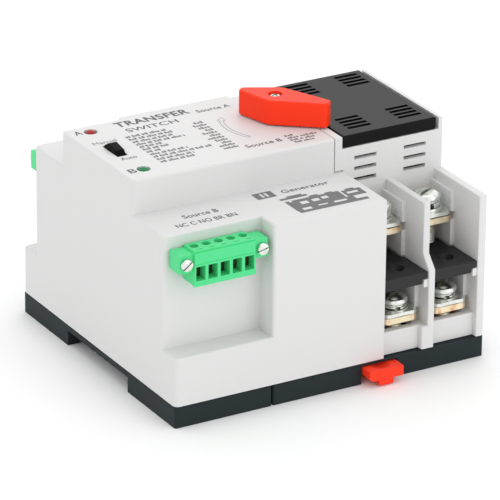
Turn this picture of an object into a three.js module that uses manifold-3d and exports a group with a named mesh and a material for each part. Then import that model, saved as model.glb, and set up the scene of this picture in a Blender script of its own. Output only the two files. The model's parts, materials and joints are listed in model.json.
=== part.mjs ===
// Two-pole changeover switch for two supplies, clipped on a 35 mm rail.
// A motor or the red handle turns a vertical shaft. Its pinion drives a rack on the contact
// carriage, which slides between the source A contacts (back) and the source B contacts (front).
//
// Lengths are in mm. x runs from the left end, y from the front face, z from the underside of the
// base. The last group moves the origin to the middle of the rail seat.
// Front and back are mirror images, so most features are placed by their depth from a face.

import * as THREE from 'three';
import { mergeVertices } from 'three/addons/utils/BufferGeometryUtils.js';
import Module from 'manifold-3d';

const wasm = await Module();
wasm.setup();

// Driving dimensions
const WIDTH = 100;
const DEPTH = 90;
const RAIL_SLOT = 35.5; // width of the slot that takes the rail
const SEAT_HEIGHT = 4.5;
const SLOT_FRONT = (DEPTH - RAIL_SLOT) / 2;
const SLOT_BACK = (DEPTH + RAIL_SLOT) / 2;
const SEAT_END = 58.5;
const HOOK_SPANS = [[60, 71], [84, 95]]; // height of the face that rests on the rail
const BASE_TOP = 6.1;
const SHELL_BOTTOM = 6.4;
const LOW_TOP = 20.8; // top of the low step in front of each plug
const MID_TOP = 54.5; // top of the shoulders on both sides of the nose
const NOSE_TOP = 64.7;
const NOSE_INSET = 24; // leaves a nose of 42 mm
const RECESS_INSET = 7.4;
const RECESS_END = 30.8;
const BASE_SEAM = 30.9;
const BLOCK_END = 66.8; // right end of the shoulders
const CAP_END = 64; // right end of the left half of the nose
const WALL = 2;
const GAP = 0.3; // clearance between separate mouldings

// Terminal bays
const BAY_FLOOR = 13.3;
const FLOOR_INSET = 1.9;
const BAY_WALL_TOP = 49.4;
const DIVIDER = [81.2, 83.3];
const END_WALL = 97.4;
const POLES = { left: 74.05, right: 90.35 };
// Depth of the screw axis, underside of the copper bar, height of the washers, screw below the clamp.
const LOWER = { depth: 7, bar: 15, washers: 1.2, shank: 7.2 };
const UPPER = { depth: 16.4, bar: 38.2, washers: 2.7, shank: 10.8 };
const BAR_THICK = 1.8;
const BAR_HALF = 5.85;
const NECK_HALF = 5.5; // the bars narrow where they enter the nose
const CLAMP_HALF = [5.5, 5];
const SCREW_RADIUS = 2.45;
const SCREW_HOLE = 2.7;
const BARRIER_TOP = 29.8;

// Handle, gear train and contact carriage
const AXIS_X = 57;
const AXIS_Y = DEPTH / 2;
const HANDLE_ANGLE = 128; // degrees from +x, pointing at source A
const HANDLE_BOTTOM = 65.2;
const HANDLE_TOP = 72.4;
const SHAFT_RADIUS = 3;
const RACK_MODULE = 1.25;
const RACK_PINION_TEETH = 11;
const TRAIN_MODULE = 0.8;
const WHEEL_TEETH = 16;
const MOTOR_TEETH = 8;
const CARRIAGE_TRAVEL = 12;
const CARRIAGE_FLOOR = [24, 26];
const FIXED_CONTACT = 13; // distance of the fixed contact faces from the shaft, front and back

// Plug and indicator places
const PLUG_CENTRE = 15.8;
const PLUG_PITCH = 3.81;
const PLUG_POLES = 5;
const EAR_OFFSET = 11.85;
const EAR_HEIGHT = 47.8;
const LAMP_X = 6.9;
const LAMP_YS = { a: 61.4, b: 30.6 };
const ROCKER = { x: 6.4, y: 46, z: 63.6, tilt: 10 };
const LATCH = { left: 59.95, right: 71, front: -4 };

const SIDES = { front: (depth) => depth, back: (depth) => DEPTH - depth };

// ---- shapes ----

function solid(geometry) {
  const bare = geometry.clone();
  bare.deleteAttribute('normal');
  bare.deleteAttribute('uv');
  const merged = mergeVertices(bare, 1e-4);
  return new wasm.Manifold(new wasm.Mesh({
    numProp: 3,
    vertProperties: new Float32Array(merged.attributes.position.array),
    triVerts: new Uint32Array(merged.index.array),
  }));
}

function block(x, y, z) {
  const size = [x, y, z].map(([a, b]) => Math.abs(b - a));
  const centre = [x, y, z].map(([a, b]) => (a + b) / 2);
  return solid(new THREE.BoxGeometry(...size).translate(...centre));
}

function rod(radius, z, x = 0, y = 0, sides = 16) {
  const geometry = new THREE.CylinderGeometry(radius, radius, z[1] - z[0], sides);
  return solid(geometry.rotateX(Math.PI / 2).translate(x, y, (z[0] + z[1]) / 2));
}

function rodAlongY(radius, y, x, z, sides = 12) {
  const [low, high] = [Math.min(...y), Math.max(...y)];
  const geometry = new THREE.CylinderGeometry(radius, radius, high - low, sides);
  return solid(geometry.translate(x, (low + high) / 2, z));
}

// A prism over an outline in the plane across its axis: (x, y) for z and (y, z) for x.
function prism(outline, axis, span) {
  const shape = new THREE.Shape(outline.map(([u, v]) => new THREE.Vector2(u, v)));
  const geometry = new THREE.ExtrudeGeometry(shape, { depth: span[1] - span[0], bevelEnabled: false });
  geometry.translate(0, 0, span[0]);
  if (axis === 'x') {
    const turn = new THREE.Matrix4().makeBasis(
      new THREE.Vector3(0, 1, 0), new THREE.Vector3(0, 0, 1), new THREE.Vector3(1, 0, 0));
    geometry.applyMatrix4(turn);
  }
  return solid(geometry);
}

function turned(profile, sides = 16) {
  const points = profile.map(([r, z]) => new THREE.Vector2(r, z));
  return solid(new THREE.LatheGeometry(points, sides).rotateX(Math.PI / 2));
}

function join(parts) {
  return parts.reduce((whole, part) => whole.add(part));
}

function cut(whole, parts) {
  return parts.reduce((rest, part) => rest.subtract(part), whole);
}

function around(centre, half) {
  return [centre - half, centre + half];
}

// Involute gear outline with stub teeth, a tooth centred on the given angle.
function gearOutline(teeth, module, phase, slack = 0.12) {
  const pitch = (teeth * module) / 2;
  const base = pitch * Math.cos(Math.PI / 9);
  const tip = pitch + 0.8 * module;
  const root = pitch - 1.1 * module;
  const involute = (r) => {
    const angle = Math.acos(Math.min(1, base / Math.max(r, base)));
    return Math.tan(angle) - angle;
  };
  const halfAtPitch = Math.PI / (2 * teeth) - slack / (2 * pitch);
  const half = (r) => halfAtPitch + involute(pitch) - involute(r);
  const flank = [root, Math.max(base, root + 0.01), pitch, tip];
  const outline = [];
  for (let i = 0; i < teeth; i += 1) {
    const middle = phase + (i * 2 * Math.PI) / teeth;
    flank.forEach((r) => outline.push([r, middle - half(r)]));
    [...flank].reverse().forEach((r) => outline.push([r, middle + half(r)]));
  }
  return outline.map(([r, a]) => [r * Math.cos(a), r * Math.sin(a)]);
}

function gear(teeth, module, phase, z, x, y) {
  return prism(gearOutline(teeth, module, phase), 'z', z).translate([x, y, 0]);
}

// ---- materials ----

function plastic(color, roughness = 0.55) {
  return () => new THREE.MeshStandardMaterial({ color, roughness, metalness: 0 });
}

function metal(color, roughness = 0.3) {
  return () => new THREE.MeshStandardMaterial({ color, roughness, metalness: 1 });
}

const shellWhite = plastic(0xe3e4e6);
const baseDark = plastic(0x2f3436, 0.6);
const coverBlack = plastic(0x2b2b2b, 0.5);
const handleRed = plastic(0xf2402a, 0.4);
const latchRed = plastic(0xf03c2c, 0.45);
const plugGreen = plastic(0x2fd071, 0.4);
const barrierBlack = plastic(0x2e2e2f, 0.5);
const gearNylon = plastic(0xe8e2cf, 0.5);
const carriageBrown = plastic(0x6a4a35, 0.6);
const boardGreen = plastic(0x1d6b3c, 0.5);
const zinc = metal(0xc8cec4, 0.28);
const copper = metal(0xd9a06a, 0.35);
const steel = metal(0xa9adb0, 0.35);

// ---- housings and bases ----

function baseProfile() {
  return [[0, 0], [SLOT_FRONT, 0], [SLOT_FRONT, SEAT_HEIGHT], [SLOT_BACK, SEAT_HEIGHT], [SLOT_BACK, 0],
    [DEPTH, 0], [DEPTH, BASE_TOP], [0, BASE_TOP]];
}

function controllerBase() {
  return prism(baseProfile(), 'x', [0, BASE_SEAM - GAP / 2]);
}

// The rail bears on the seat left of the latch; further right the ceiling of the slot is relieved.
function switchBase() {
  const whole = prism(baseProfile(), 'x', [BASE_SEAM + GAP / 2, WIDTH]);
  const channel = cut(whole, [
    block([SEAT_END, WIDTH + 1], [SLOT_FRONT, SLOT_BACK], [SEAT_HEIGHT - 1, SEAT_HEIGHT + 0.2]),
    block([LATCH.left - GAP, LATCH.right + GAP], [-1, 6], [-1, 5.5]),
    block([60.7, 69.8], [5, 28], [-1, 3.5]),
  ]);
  const springPeg = block([64, 66.5], [10.4, 12], [0.8, 4]);
  return join([channel, springPeg, ...HOOK_SPANS.map(railHook)]);
}

// Fixed hook under the back edge of the rail.
function railHook(span) {
  const reach = 1.7;
  const top = 3;
  return prism([[SLOT_BACK + 0.5, top], [SLOT_BACK - reach, top], [SLOT_BACK - reach + 0.6, 0],
    [SLOT_BACK + 0.5, 0]], 'x', span);
}

function mainHousing() {
  const outer = join([
    block([0, BLOCK_END], [0, DEPTH], [SHELL_BOTTOM, MID_TOP]),
    block([0, CAP_END], [NOSE_INSET, DEPTH - NOSE_INSET], [MID_TOP - 4, NOSE_TOP]),
  ]);
  const recesses = Object.values(SIDES).map((at) =>
    block([-1, RECESS_END], [at(-1), at(RECESS_INSET)], [LOW_TOP, NOSE_TOP]));
  const inner = WALL + RECESS_INSET;
  const right = BLOCK_END - WALL;
  const ceiling = MID_TOP - WALL;
  const hollow = join([
    block([WALL, right], [inner, DEPTH - inner], [0, ceiling]),
    block([RECESS_END + WALL, right], [WALL, DEPTH - WALL], [0, ceiling]),
    block([WALL, right], [WALL, DEPTH - WALL], [0, LOW_TOP - WALL]),
    block([WALL, CAP_END - WALL], [NOSE_INSET + WALL, DEPTH - NOSE_INSET - WALL],
      [ceiling - 1, NOSE_TOP - WALL]),
  ]);
  const topOpenings = [
    rod(1.95, [60, 70], LAMP_X, LAMP_YS.a),
    rod(1.95, [60, 70], LAMP_X, LAMP_YS.b),
    block(around(ROCKER.x, 1.7), around(ROCKER.y, 4.55), [60, 70]),
    rod(SHAFT_RADIUS + 0.6, [60, 70], AXIS_X, AXIS_Y, 20),
  ];
  // clears the carriage floor and the tips of the rack pinion
  const carriageWindow = block([BLOCK_END - 3, BLOCK_END + 1], [30.9, 59.1], [23.5, 31.5]);
  return cut(outer, [...recesses, hollow, ...topOpenings, carriageWindow, ...plugOpenings()]);
}

function plugOpenings() {
  return Object.values(SIDES).flatMap((at) => {
    const through = [at(RECESS_INSET - 1), at(RECESS_INSET + WALL + 1)];
    const ears = [-1, 1].map((side) =>
      rodAlongY(1.4, through, PLUG_CENTRE + side * EAR_OFFSET, EAR_HEIGHT));
    return [block(around(PLUG_CENTRE, 9.6), through, [42.6, 50.4]), ...ears];
  });
}

function switchHousing() {
  const left = BLOCK_END + GAP;
  const nose = [NOSE_INSET, DEPTH - NOSE_INSET];
  const noseInside = [NOSE_INSET + WALL, DEPTH - NOSE_INSET - WALL];
  const coverLedge = 61.2;
  const partition = 1.2; // thickness of the wall that faces the left housing
  const body = join([
    block([left, WIDTH], [FLOOR_INSET, DEPTH - FLOOR_INSET], [SHELL_BOTTOM, BAY_FLOOR]),
    block([left, WIDTH], nose, [SHELL_BOTTOM, NOSE_TOP]),
    block([CAP_END + GAP, WIDTH], nose, [MID_TOP + GAP, NOSE_TOP]),
    block([END_WALL, WIDTH], [0, DEPTH], [SHELL_BOTTOM, BAY_WALL_TOP]),
  ]);
  const hollow = [
    block([left + partition, WIDTH - WALL], [4, DEPTH - 4], [0, BAY_FLOOR - WALL]),
    block([left + partition, WIDTH - WALL], noseInside, [0, 56.1]),
    block([66.6, 98.4], noseInside, [56, NOSE_TOP + 1]),
    block([66.6, 98.4], [NOSE_INSET - 1, DEPTH - NOSE_INSET + 1], [coverLedge, NOSE_TOP + 1]),
    block([left - 1, left + 3], [30.9, 59.1], [23.5, 26.5]),
  ];
  const shell = cut(body, hollow);
  const sides = Object.values(SIDES);
  const walls = join([shell, ...sides.map(divider), ...sides.flatMap(bayRibs)]);
  return cut(walls, sides.flatMap(bayOpenings));
}

// The wall between the two bays steps forward below the barrier plates.
function divider(at) {
  const outline = [[24.5, 12], [24.5, BAY_WALL_TOP], [3.4, BAY_WALL_TOP], [3.4, 34], [0, 30.1],
    [0, SHELL_BOTTOM], [3, SHELL_BOTTOM], [3, 12]];
  const foot = block([79.2, DIVIDER[1]], [at(0), at(3)], [SHELL_BOTTOM, BAY_FLOOR]);
  return prism(outline.map(([depth, z]) => [at(depth), z]), 'x', DIVIDER).add(foot);
}

function bayRibs(at) {
  return [DIVIDER[0], END_WALL].flatMap((wall) => [
    block([wall - 1.25, wall + 0.1], [at(13), at(24.5)], [BARRIER_TOP + GAP, UPPER.bar - GAP]),
    block([wall - 1.25, wall + 0.1], [at(13), at(24.5)], [UPPER.bar + BAR_THICK + GAP, 46.5]),
    block([wall - 1.25, wall + 0.1], [at(5.4), at(24.5)], [LOWER.bar + BAR_THICK + GAP, 27.5]),
    block([wall - 1.4, wall + 0.1], [at(0.5), at(3)], [25.2, 27.5]),
  ]);
}

function bayOpenings(at) {
  const noseWall = [at(NOSE_INSET - 1), at(NOSE_INSET + WALL + 1)];
  const ventRows = [[57.2, 58.25], [53.9, 55], [50.5, 51.7]];
  return Object.values(POLES).flatMap((x) => [
    block(around(x, 4.5), [at(4), at(12)], [10, BAY_FLOOR + 1]),
    block(around(x, NECK_HALF + 0.4), noseWall, [LOWER.bar - 0.4, LOWER.bar + BAR_THICK + 0.4]),
    block(around(x, NECK_HALF + 0.4), noseWall, [UPPER.bar - 0.4, UPPER.bar + BAR_THICK + 0.4]),
    ...ventRows.map((row) => block(around(x + 0.25, 3.65), noseWall, row)),
  ]);
}

function ventCover() {
  const span = [66.9, 97.8];
  const lip = 2;
  const plate = cut(block(span, [NOSE_INSET, DEPTH - NOSE_INSET], [61.5, 65]), [
    block([span[0] - 1, span[1] + 1], [NOSE_INSET + lip, DEPTH - NOSE_INSET - lip], [60, 63.4]),
  ]);
  const slots = [];
  for (const x of [74.8, 91.4]) {
    for (const y of [32, 60]) {
      for (let row = -1.5; row <= 1.5; row += 1) {
        slots.push(block(around(x, 3.75), around(y + row * 2.3, 0.68), [60, 70]));
      }
    }
  }
  return cut(plate, slots);
}

// ---- rail latch ----

function dinLatch() {
  const { left, right, front } = LATCH;
  const tongueTip = SLOT_FRONT + 1.95; // reaches under the front edge of the rail
  const bar = cut(block([61, 69.5], [4, tongueTip], [1.2, 3.2]), [
    block([63.6, 66.9], [10, 22], [0, 4]),
  ]);
  const nib = block([left + 3.15, right - 3.2], [front, front + 2], [0.4, 3]);
  const head = block([left, right], [front, 5], [2.1, 5.2]);
  return join([bar, head, nib]);
}

function latchSpring() {
  return rodAlongY(1.05, [12.3, 21.7], 65.25, 2.3, 10);
}

// ---- handle, shaft and gears ----

function handle() {
  const tip = 10.8;
  const tail = 16.3;
  const outline = [[tip, 1.2], [0, 5.9], [-tail, 1.8], [-tail, -1.8], [0, -5.9], [tip, -1.2]];
  const grip = cut(prism(outline, 'z', [HANDLE_BOTTOM, HANDLE_TOP]), [
    rod(2.1, [HANDLE_TOP - 1.9, HANDLE_TOP + 1], 0, 0, 20),
    rod(1.3, [HANDLE_BOTTOM - 1, HANDLE_TOP]),
    rod(SHAFT_RADIUS + 0.2, [HANDLE_BOTTOM - 1, 68.4], 0, 0, 20),
  ]);
  return grip.rotate([0, 0, HANDLE_ANGLE]).translate([AXIS_X, AXIS_Y, 0]);
}

function handleScrew() {
  const seat = HANDLE_TOP - 1.7;
  return turned([[0, 61], [1, 61], [1, seat], [1.8, seat], [1.8, seat + 0.7], [1.2, seat + 1.3],
    [0, seat + 1.4]], 14).translate([AXIS_X, AXIS_Y, 0]);
}

function handleShaft() {
  const shaft = rod(SHAFT_RADIUS, [26.6, 68.1], AXIS_X, AXIS_Y, 20);
  const rackPinion = gear(RACK_PINION_TEETH, RACK_MODULE, 0, [27, 31], AXIS_X, AXIS_Y);
  const wheel = gear(WHEEL_TEETH, TRAIN_MODULE, 0, [40.2, 44.2], AXIS_X, AXIS_Y);
  return cut(join([shaft, rackPinion, wheel]), [rod(1.3, [60, 69], AXIS_X, AXIS_Y)]);
}

const WHEEL_SPACING = WHEEL_TEETH * TRAIN_MODULE;
const IDLER_X = AXIS_X - WHEEL_SPACING;
const MOTOR_X = IDLER_X - ((WHEEL_TEETH + MOTOR_TEETH) * TRAIN_MODULE) / 2;

function idlerGear() {
  const wheel = gear(WHEEL_TEETH, TRAIN_MODULE, Math.PI / WHEEL_TEETH, [40.2, 44.2], IDLER_X, AXIS_Y);
  return cut(wheel, [rod(1.6, [39, 45], IDLER_X, AXIS_Y)]);
}

function motorPinion() {
  const spindle = rod(1.2, [38.3, 45], MOTOR_X, AXIS_Y, 12);
  return spindle.add(gear(MOTOR_TEETH, TRAIN_MODULE, 0, [40.2, 44.2], MOTOR_X, AXIS_Y));
}

function driveMotor() {
  const can = 10.5;
  return turned([[0, 12], [3, 12], [3, 13.5], [can - 1, 13.5], [can, 14.5], [can, 35.9], [can - 1, 36.9],
    [3.5, 36.9], [3.5, 37.9], [0, 37.9]], 20).translate([MOTOR_X, AXIS_Y, 0]);
}

// Plate that carries the shaft, the idler's pin and the motor, on four legs.
function gearPlate() {
  const plate = block([23, 63], [28, 62], [38.2, 39.8]);
  const legs = [[23, 26], [60, 63]].flatMap((x) =>
    [[28, 30.6], [59.4, 62]].map((y) => block(x, y, [SHELL_BOTTOM, 38.6])));
  const idlerPin = rod(1.5, [39, 44.8], IDLER_X, AXIS_Y, 12);
  return cut(join([plate, ...legs, idlerPin]), [
    rod(SHAFT_RADIUS + 0.15, [37, 41], AXIS_X, AXIS_Y, 20),
    rod(1.5, [37, 41], MOTOR_X, AXIS_Y, 12),
  ]);
}

// ---- contacts ----

const CARRIAGE_Y = AXIS_Y + CARRIAGE_TRAVEL / 2;

function contactCarriage() {
  const floor = block([47, 96], around(CARRIAGE_Y, 7.5), CARRIAGE_FLOOR);
  const slots = Object.values(POLES).map((x) =>
    block(around(x, 3.3), around(CARRIAGE_Y, 5), [20, 30]));
  const pitchLine = AXIS_X - (RACK_PINION_TEETH * RACK_MODULE) / 2;
  const spine = block([pitchLine - 3.3, pitchLine - 1.2], around(CARRIAGE_Y, 9.5), [25, 31]);
  return cut(floor, slots).add(spine).add(rackTeeth(pitchLine));
}

function rackTeeth(pitchLine) {
  const pitch = Math.PI * RACK_MODULE;
  const slope = Math.tan(Math.PI / 9);
  const half = (x) => pitch / 4 - 0.1 - (x - pitchLine) * slope;
  const root = pitchLine - 1.4;
  const tip = pitchLine + 0.8 * RACK_MODULE;
  const teeth = [];
  // a tooth stands level with the shaft at rest, and the rack runs on towards the back
  for (let i = 0; i <= 3; i += 1) {
    const y = AXIS_Y + i * pitch;
    teeth.push(prism([[root, y - half(root)], [tip, y - half(tip)], [tip, y + half(tip)],
      [root, y + half(root)]], 'z', [27.2, 30.8]));
  }
  return join(teeth);
}

function movingContact(x) {
  const blade = block(around(x, 3), around(CARRIAGE_Y, 4.7), [17.1, 27]);
  const pad = block(around(x, 3), around(CARRIAGE_Y, FIXED_CONTACT - CARRIAGE_TRAVEL / 2 - GAP), [26.3, 34]);
  return blade.add(pad);
}

function sourceBar(x, at) {
  const faceDepth = DEPTH / 2 - FIXED_CONTACT;
  const top = UPPER.bar + BAR_THICK;
  const tab = block(around(x, BAR_HALF), [at(11.4), at(NOSE_INSET - 0.4)], [UPPER.bar, top]);
  const neck = block(around(x, NECK_HALF), [at(NOSE_INSET - 1), at(faceDepth)], [UPPER.bar, top]);
  const leg = block(around(x, 4), [at(faceDepth - BAR_THICK), at(faceDepth)], [27, top]);
  return cut(join([tab, neck, leg]), [rod(SCREW_HOLE, [UPPER.bar - 1, top + 1], x, at(UPPER.depth))]);
}

function loadBar(x) {
  const top = LOWER.bar + BAR_THICK;
  const tabs = Object.values(SIDES).map((at) =>
    block(around(x, BAR_HALF), [at(2.3), at(NOSE_INSET - 0.4)], [LOWER.bar, top]));
  const neck = block(around(x, NECK_HALF), [NOSE_INSET - 1, DEPTH - NOSE_INSET + 1], [LOWER.bar, top]);
  return cut(join([...tabs, neck]), Object.values(SIDES).map((at) =>
    rod(SCREW_HOLE, [LOWER.bar - 1, top + 1], x, at(LOWER.depth))));
}

function arcChute(x, at) {
  const roof = block(around(x, 5), [at(DEPTH / 2 - 13), at(DEPTH / 2 - 1.5)], [55, 56.5]);
  const fins = [];
  for (let i = 0; i < 5; i += 1) {
    const depth = DEPTH / 2 - 12.4 + i * 2.5;
    fins.push(block(around(x, 5), [at(depth), at(depth + 0.8)], [36, 55.5]));
  }
  return join([roof, ...fins]);
}

// ---- terminals ----

function clampPlate(x, y, barBottom) {
  const low = barBottom + BAR_THICK + 0.15;
  return cut(block(around(x, CLAMP_HALF[0]), around(y, CLAMP_HALF[1]), [low, low + 1.1]), [
    rod(SCREW_HOLE, [low - 1, low + 2], x, y),
  ]);
}

// Pan head screw with its washers, which stay on it.
function terminalScrew(x, y, place) {
  const seat = place.bar + BAR_THICK + 1.4;
  const head = seat + place.washers;
  const end = seat - place.shank;
  return turned([[0, end], [SCREW_RADIUS - 0.5, end], [SCREW_RADIUS, end + 0.7], [SCREW_RADIUS, seat],
    [3.9, seat], [3.9, head - 0.1], [3.3, head], [3.95, head + 0.4], [3.95, head + 1.6],
    [3.1, head + 2.6], [0, head + 2.9]]).translate([x, y, 0]);
}

function barrierPlate(x, wall, at) {
  const left = x - 6.95;
  const right = wall - 0.15;
  const ribFace = wall - 1.4;
  const outline = [[left, 0.4], [right, 0.4], [right, 12.8], [ribFace, 12.8], [ribFace, 23.6], [left, 23.6]];
  const plan = outline.map(([px, depth]) => [px, at(depth)]);
  const plate = prism(plan, 'z', [27.8, BARRIER_TOP]);
  const lip = block([left, wall - 1.8], [at(0.4), at(2.2)], [26.3, 28]);
  const access = rod(2.45, [20, 40], x + 0.5, at(LOWER.depth));
  return cut(plate.add(lip), [access]);
}

// ---- plugs ----

function plug(at) {
  const body = block(around(PLUG_CENTRE, 9.6), [at(0.6), at(7.1)], [41, 51.3]);
  const flange = block(around(PLUG_CENTRE, 13.9), [at(1.4), at(7.1)], [45, 50.6]);
  const nose = block(around(PLUG_CENTRE, 9.3), [at(7), at(15.5)], [42.9, 50.1]);
  const openings = [];
  for (let i = 0; i < PLUG_POLES; i += 1) {
    const x = PLUG_CENTRE + (i - (PLUG_POLES - 1) / 2) * PLUG_PITCH;
    openings.push(block(around(x, 1.45), [at(0), at(5.5)], [42.6, 46.7]));
    openings.push(rod(1.2, [47.6, 52], x, at(4.6), 8));
  }
  const earHoles = [-1, 1].map((side) =>
    rodAlongY(1.25, [at(0), at(8)], PLUG_CENTRE + side * EAR_OFFSET, EAR_HEIGHT));
  return cut(join([body, flange, nose]), [...openings, ...earHoles]);
}

function header(at) {
  const face = RECESS_INSET + WALL + GAP;
  const shell = block(around(PLUG_CENTRE, 10.6), [at(face), at(face + 8)], [41.6, 51.4]);
  const socket = block(around(PLUG_CENTRE, 9.6), [at(face - 1), at(face + 6.3)], [42.6, 50.4]);
  const ears = block(around(PLUG_CENTRE, 13.5), [at(face), at(face + 3)], [45, 50.6]);
  const earHoles = [-1, 1].map((side) =>
    rodAlongY(1.25, [at(face - 1), at(face + 4)], PLUG_CENTRE + side * EAR_OFFSET, EAR_HEIGHT));
  return cut(shell.add(ears), [socket, ...earHoles]);
}

function plugScrew(at, side) {
  const x = PLUG_CENTRE + side * EAR_OFFSET;
  const shank = rodAlongY(1, [at(1), at(12.5)], x, EAR_HEIGHT);
  return shank.add(rodAlongY(1.9, [at(0.1), at(1.25)], x, EAR_HEIGHT, 14));
}

// ---- controls and electronics ----

function modeRocker() {
  const outline = [[-4.1, 0.9], [-2.2, 2.6], [2.2, 2.6], [4.1, 0.9], [4.1, 0], [2.2, -1.6], [-2.2, -1.6],
    [-4.1, 0]];
  return prism(outline, 'x', [-1.5, 1.5]).rotate([ROCKER.tilt, 0, 0])
    .translate([ROCKER.x, ROCKER.y, ROCKER.z]);
}

function modeSwitchBody() {
  return cut(block(around(ROCKER.x, 2.9), around(ROCKER.y, 6), [56.9, 62.4]), [
    block(around(ROCKER.x, 1.6), around(ROCKER.y, 4.6), [60.5, 63]),
  ]);
}

function lamp(y) {
  return turned([[0, 57], [2.1, 57], [2.1, 58.2], [1.65, 58.2], [1.65, 64], [1.4, 64.75], [0.9, 65.15],
    [0, 65.3]], 12).translate([LAMP_X, y, 0]);
}

// The board carries its two soldered relays underneath.
function circuitBoard() {
  const board = block([2.8, 30], [27, 63], [55, 56.6]);
  return join([board, relay(AXIS_Y - 8.2), relay(AXIS_Y + 8.2)]);
}

function relay(y) {
  return block([5, 20], around(y, 7.5), [39, 55.2]);
}

// ---- assembly ----

const device = new THREE.Group();

function add(name, manifold, material) {
  const { vertProperties, triVerts } = manifold.getMesh();
  const geometry = new THREE.BufferGeometry();
  geometry.setAttribute('position', new THREE.Float32BufferAttribute(vertProperties, 3));
  geometry.setIndex(new THREE.Uint32BufferAttribute(triVerts, 1));
  geometry.computeVertexNormals();
  const mesh = new THREE.Mesh(geometry, material());
  mesh.name = name;
  device.add(mesh);
}

function addHousings() {
  add('controller_base', controllerBase(), baseDark);
  add('switch_base', switchBase(), baseDark);
  add('main_housing', mainHousing(), shellWhite);
  add('switch_housing', switchHousing(), shellWhite);
  add('vent_cover', ventCover(), coverBlack);
  add('din_latch', dinLatch(), latchRed);
  add('latch_spring', latchSpring(), steel);
}

function addDrive() {
  add('handle', handle(), handleRed);
  add('handle_screw', handleScrew(), zinc);
  add('handle_shaft', handleShaft(), gearNylon);
  add('idler_gear', idlerGear(), gearNylon);
  add('motor_pinion', motorPinion(), gearNylon);
  add('drive_motor', driveMotor(), steel);
  add('gear_plate', gearPlate(), steel);
  add('contact_carriage', contactCarriage(), carriageBrown);
}

function addPole(pole, x) {
  const wall = pole === 'left' ? DIVIDER[0] : END_WALL;
  add(`moving_contact_${pole}`, movingContact(x), copper);
  add(`load_bar_${pole}`, loadBar(x), copper);
  for (const [side, at] of Object.entries(SIDES)) {
    add(`source_bar_${side}_${pole}`, sourceBar(x, at), copper);
    add(`arc_chute_${side}_${pole}`, arcChute(x, at), steel);
    add(`barrier_${side}_${pole}`, barrierPlate(x, wall, at), barrierBlack);
    for (const [level, place] of Object.entries({ upper: UPPER, lower: LOWER })) {
      const y = at(place.depth);
      add(`clamp_${level}_${side}_${pole}`, clampPlate(x, y, place.bar), zinc);
      add(`screw_${level}_${side}_${pole}`, terminalScrew(x, y, place), zinc);
    }
  }
}

function addControls() {
  for (const [side, at] of Object.entries(SIDES)) {
    add(`plug_${side}`, plug(at), plugGreen);
    add(`header_${side}`, header(at), plugGreen);
    add(`plug_screw_${side}_left`, plugScrew(at, -1), zinc);
    add(`plug_screw_${side}_right`, plugScrew(at, 1), zinc);
  }
  add('mode_rocker', modeRocker(), coverBlack);
  add('mode_switch_body', modeSwitchBody(), coverBlack);
  add('lamp_a', lamp(LAMP_YS.a), plastic(0xc8281e, 0.2));
  add('lamp_b', lamp(LAMP_YS.b), plastic(0x1e8c46, 0.2));
  add('circuit_board', circuitBoard(), boardGreen);
}

addHousings();
addDrive();
Object.entries(POLES).forEach(([pole, x]) => addPole(pole, x));
addControls();
device.position.set(-WIDTH / 2, -DEPTH / 2, -SEAT_HEIGHT);

const group = new THREE.Group();
group.add(device);

export default group;
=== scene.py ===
import json
import math
import bmesh
import bpy
from mathutils import Matrix, Vector


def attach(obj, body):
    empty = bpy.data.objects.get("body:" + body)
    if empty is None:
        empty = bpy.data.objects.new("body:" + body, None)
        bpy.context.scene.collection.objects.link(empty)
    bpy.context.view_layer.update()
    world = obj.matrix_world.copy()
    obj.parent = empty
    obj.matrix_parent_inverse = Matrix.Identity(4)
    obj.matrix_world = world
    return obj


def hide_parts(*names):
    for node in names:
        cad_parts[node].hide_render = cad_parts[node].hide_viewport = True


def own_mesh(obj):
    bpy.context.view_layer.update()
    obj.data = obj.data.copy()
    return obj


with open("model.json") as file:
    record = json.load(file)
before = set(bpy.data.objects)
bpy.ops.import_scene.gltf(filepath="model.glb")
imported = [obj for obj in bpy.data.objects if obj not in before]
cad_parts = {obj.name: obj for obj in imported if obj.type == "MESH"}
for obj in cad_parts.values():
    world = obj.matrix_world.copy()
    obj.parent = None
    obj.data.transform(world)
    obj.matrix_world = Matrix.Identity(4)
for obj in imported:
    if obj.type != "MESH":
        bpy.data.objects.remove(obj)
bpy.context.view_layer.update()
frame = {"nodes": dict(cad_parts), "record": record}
NODES = frame["nodes"]
BODY_OF = {n: b for b, names in frame["record"]["behaviour"]["bodies"].items() for n in names}
SLOT_OF = {s["node"]: s["material_slot"] for s in frame["record"]["subparts"]}

# ---------------------------------------------------------------- measures, in millimetres
# x from the left end, y from the front face, z from the underside of the base
WIDTH, DEPTH = 100.0, 90.0
ORIGIN = Vector((50.0, 45.0, 4.5))
RAIL_SLOT = 35.5
# housings: the seam of the two bases in x, the underside and the tops of the three steps in z,
# the raised nose in y, the recess of each plug, and the right ends of the main housing and its nose
BASE_SEAM = 30.9
SHELL_BOTTOM = 6.4
LOW_TOP, MID_TOP, NOSE_TOP = 20.8, 54.5, 64.7
WALL = 1.6
NOSE = (24.0, 66.0)
RECESS_INSET, RECESS_END = 7.4, 30.8
BLOCK_END, CAP_END = 66.8, 64.0
SEAM_GAP = 0.3
# terminal bays: floor and wall tops in z, the divider and the end wall's inner face in x
BAY_FLOOR, BAY_WALL_TOP = 13.3, 49.4
FLOOR_INSET = 1.9
DIVIDER = (81.2, 83.3)
END_WALL = 97.4
COVER_SEAT = 61.2
SLIDE_WAY = (30.9, 59.1)
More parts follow.
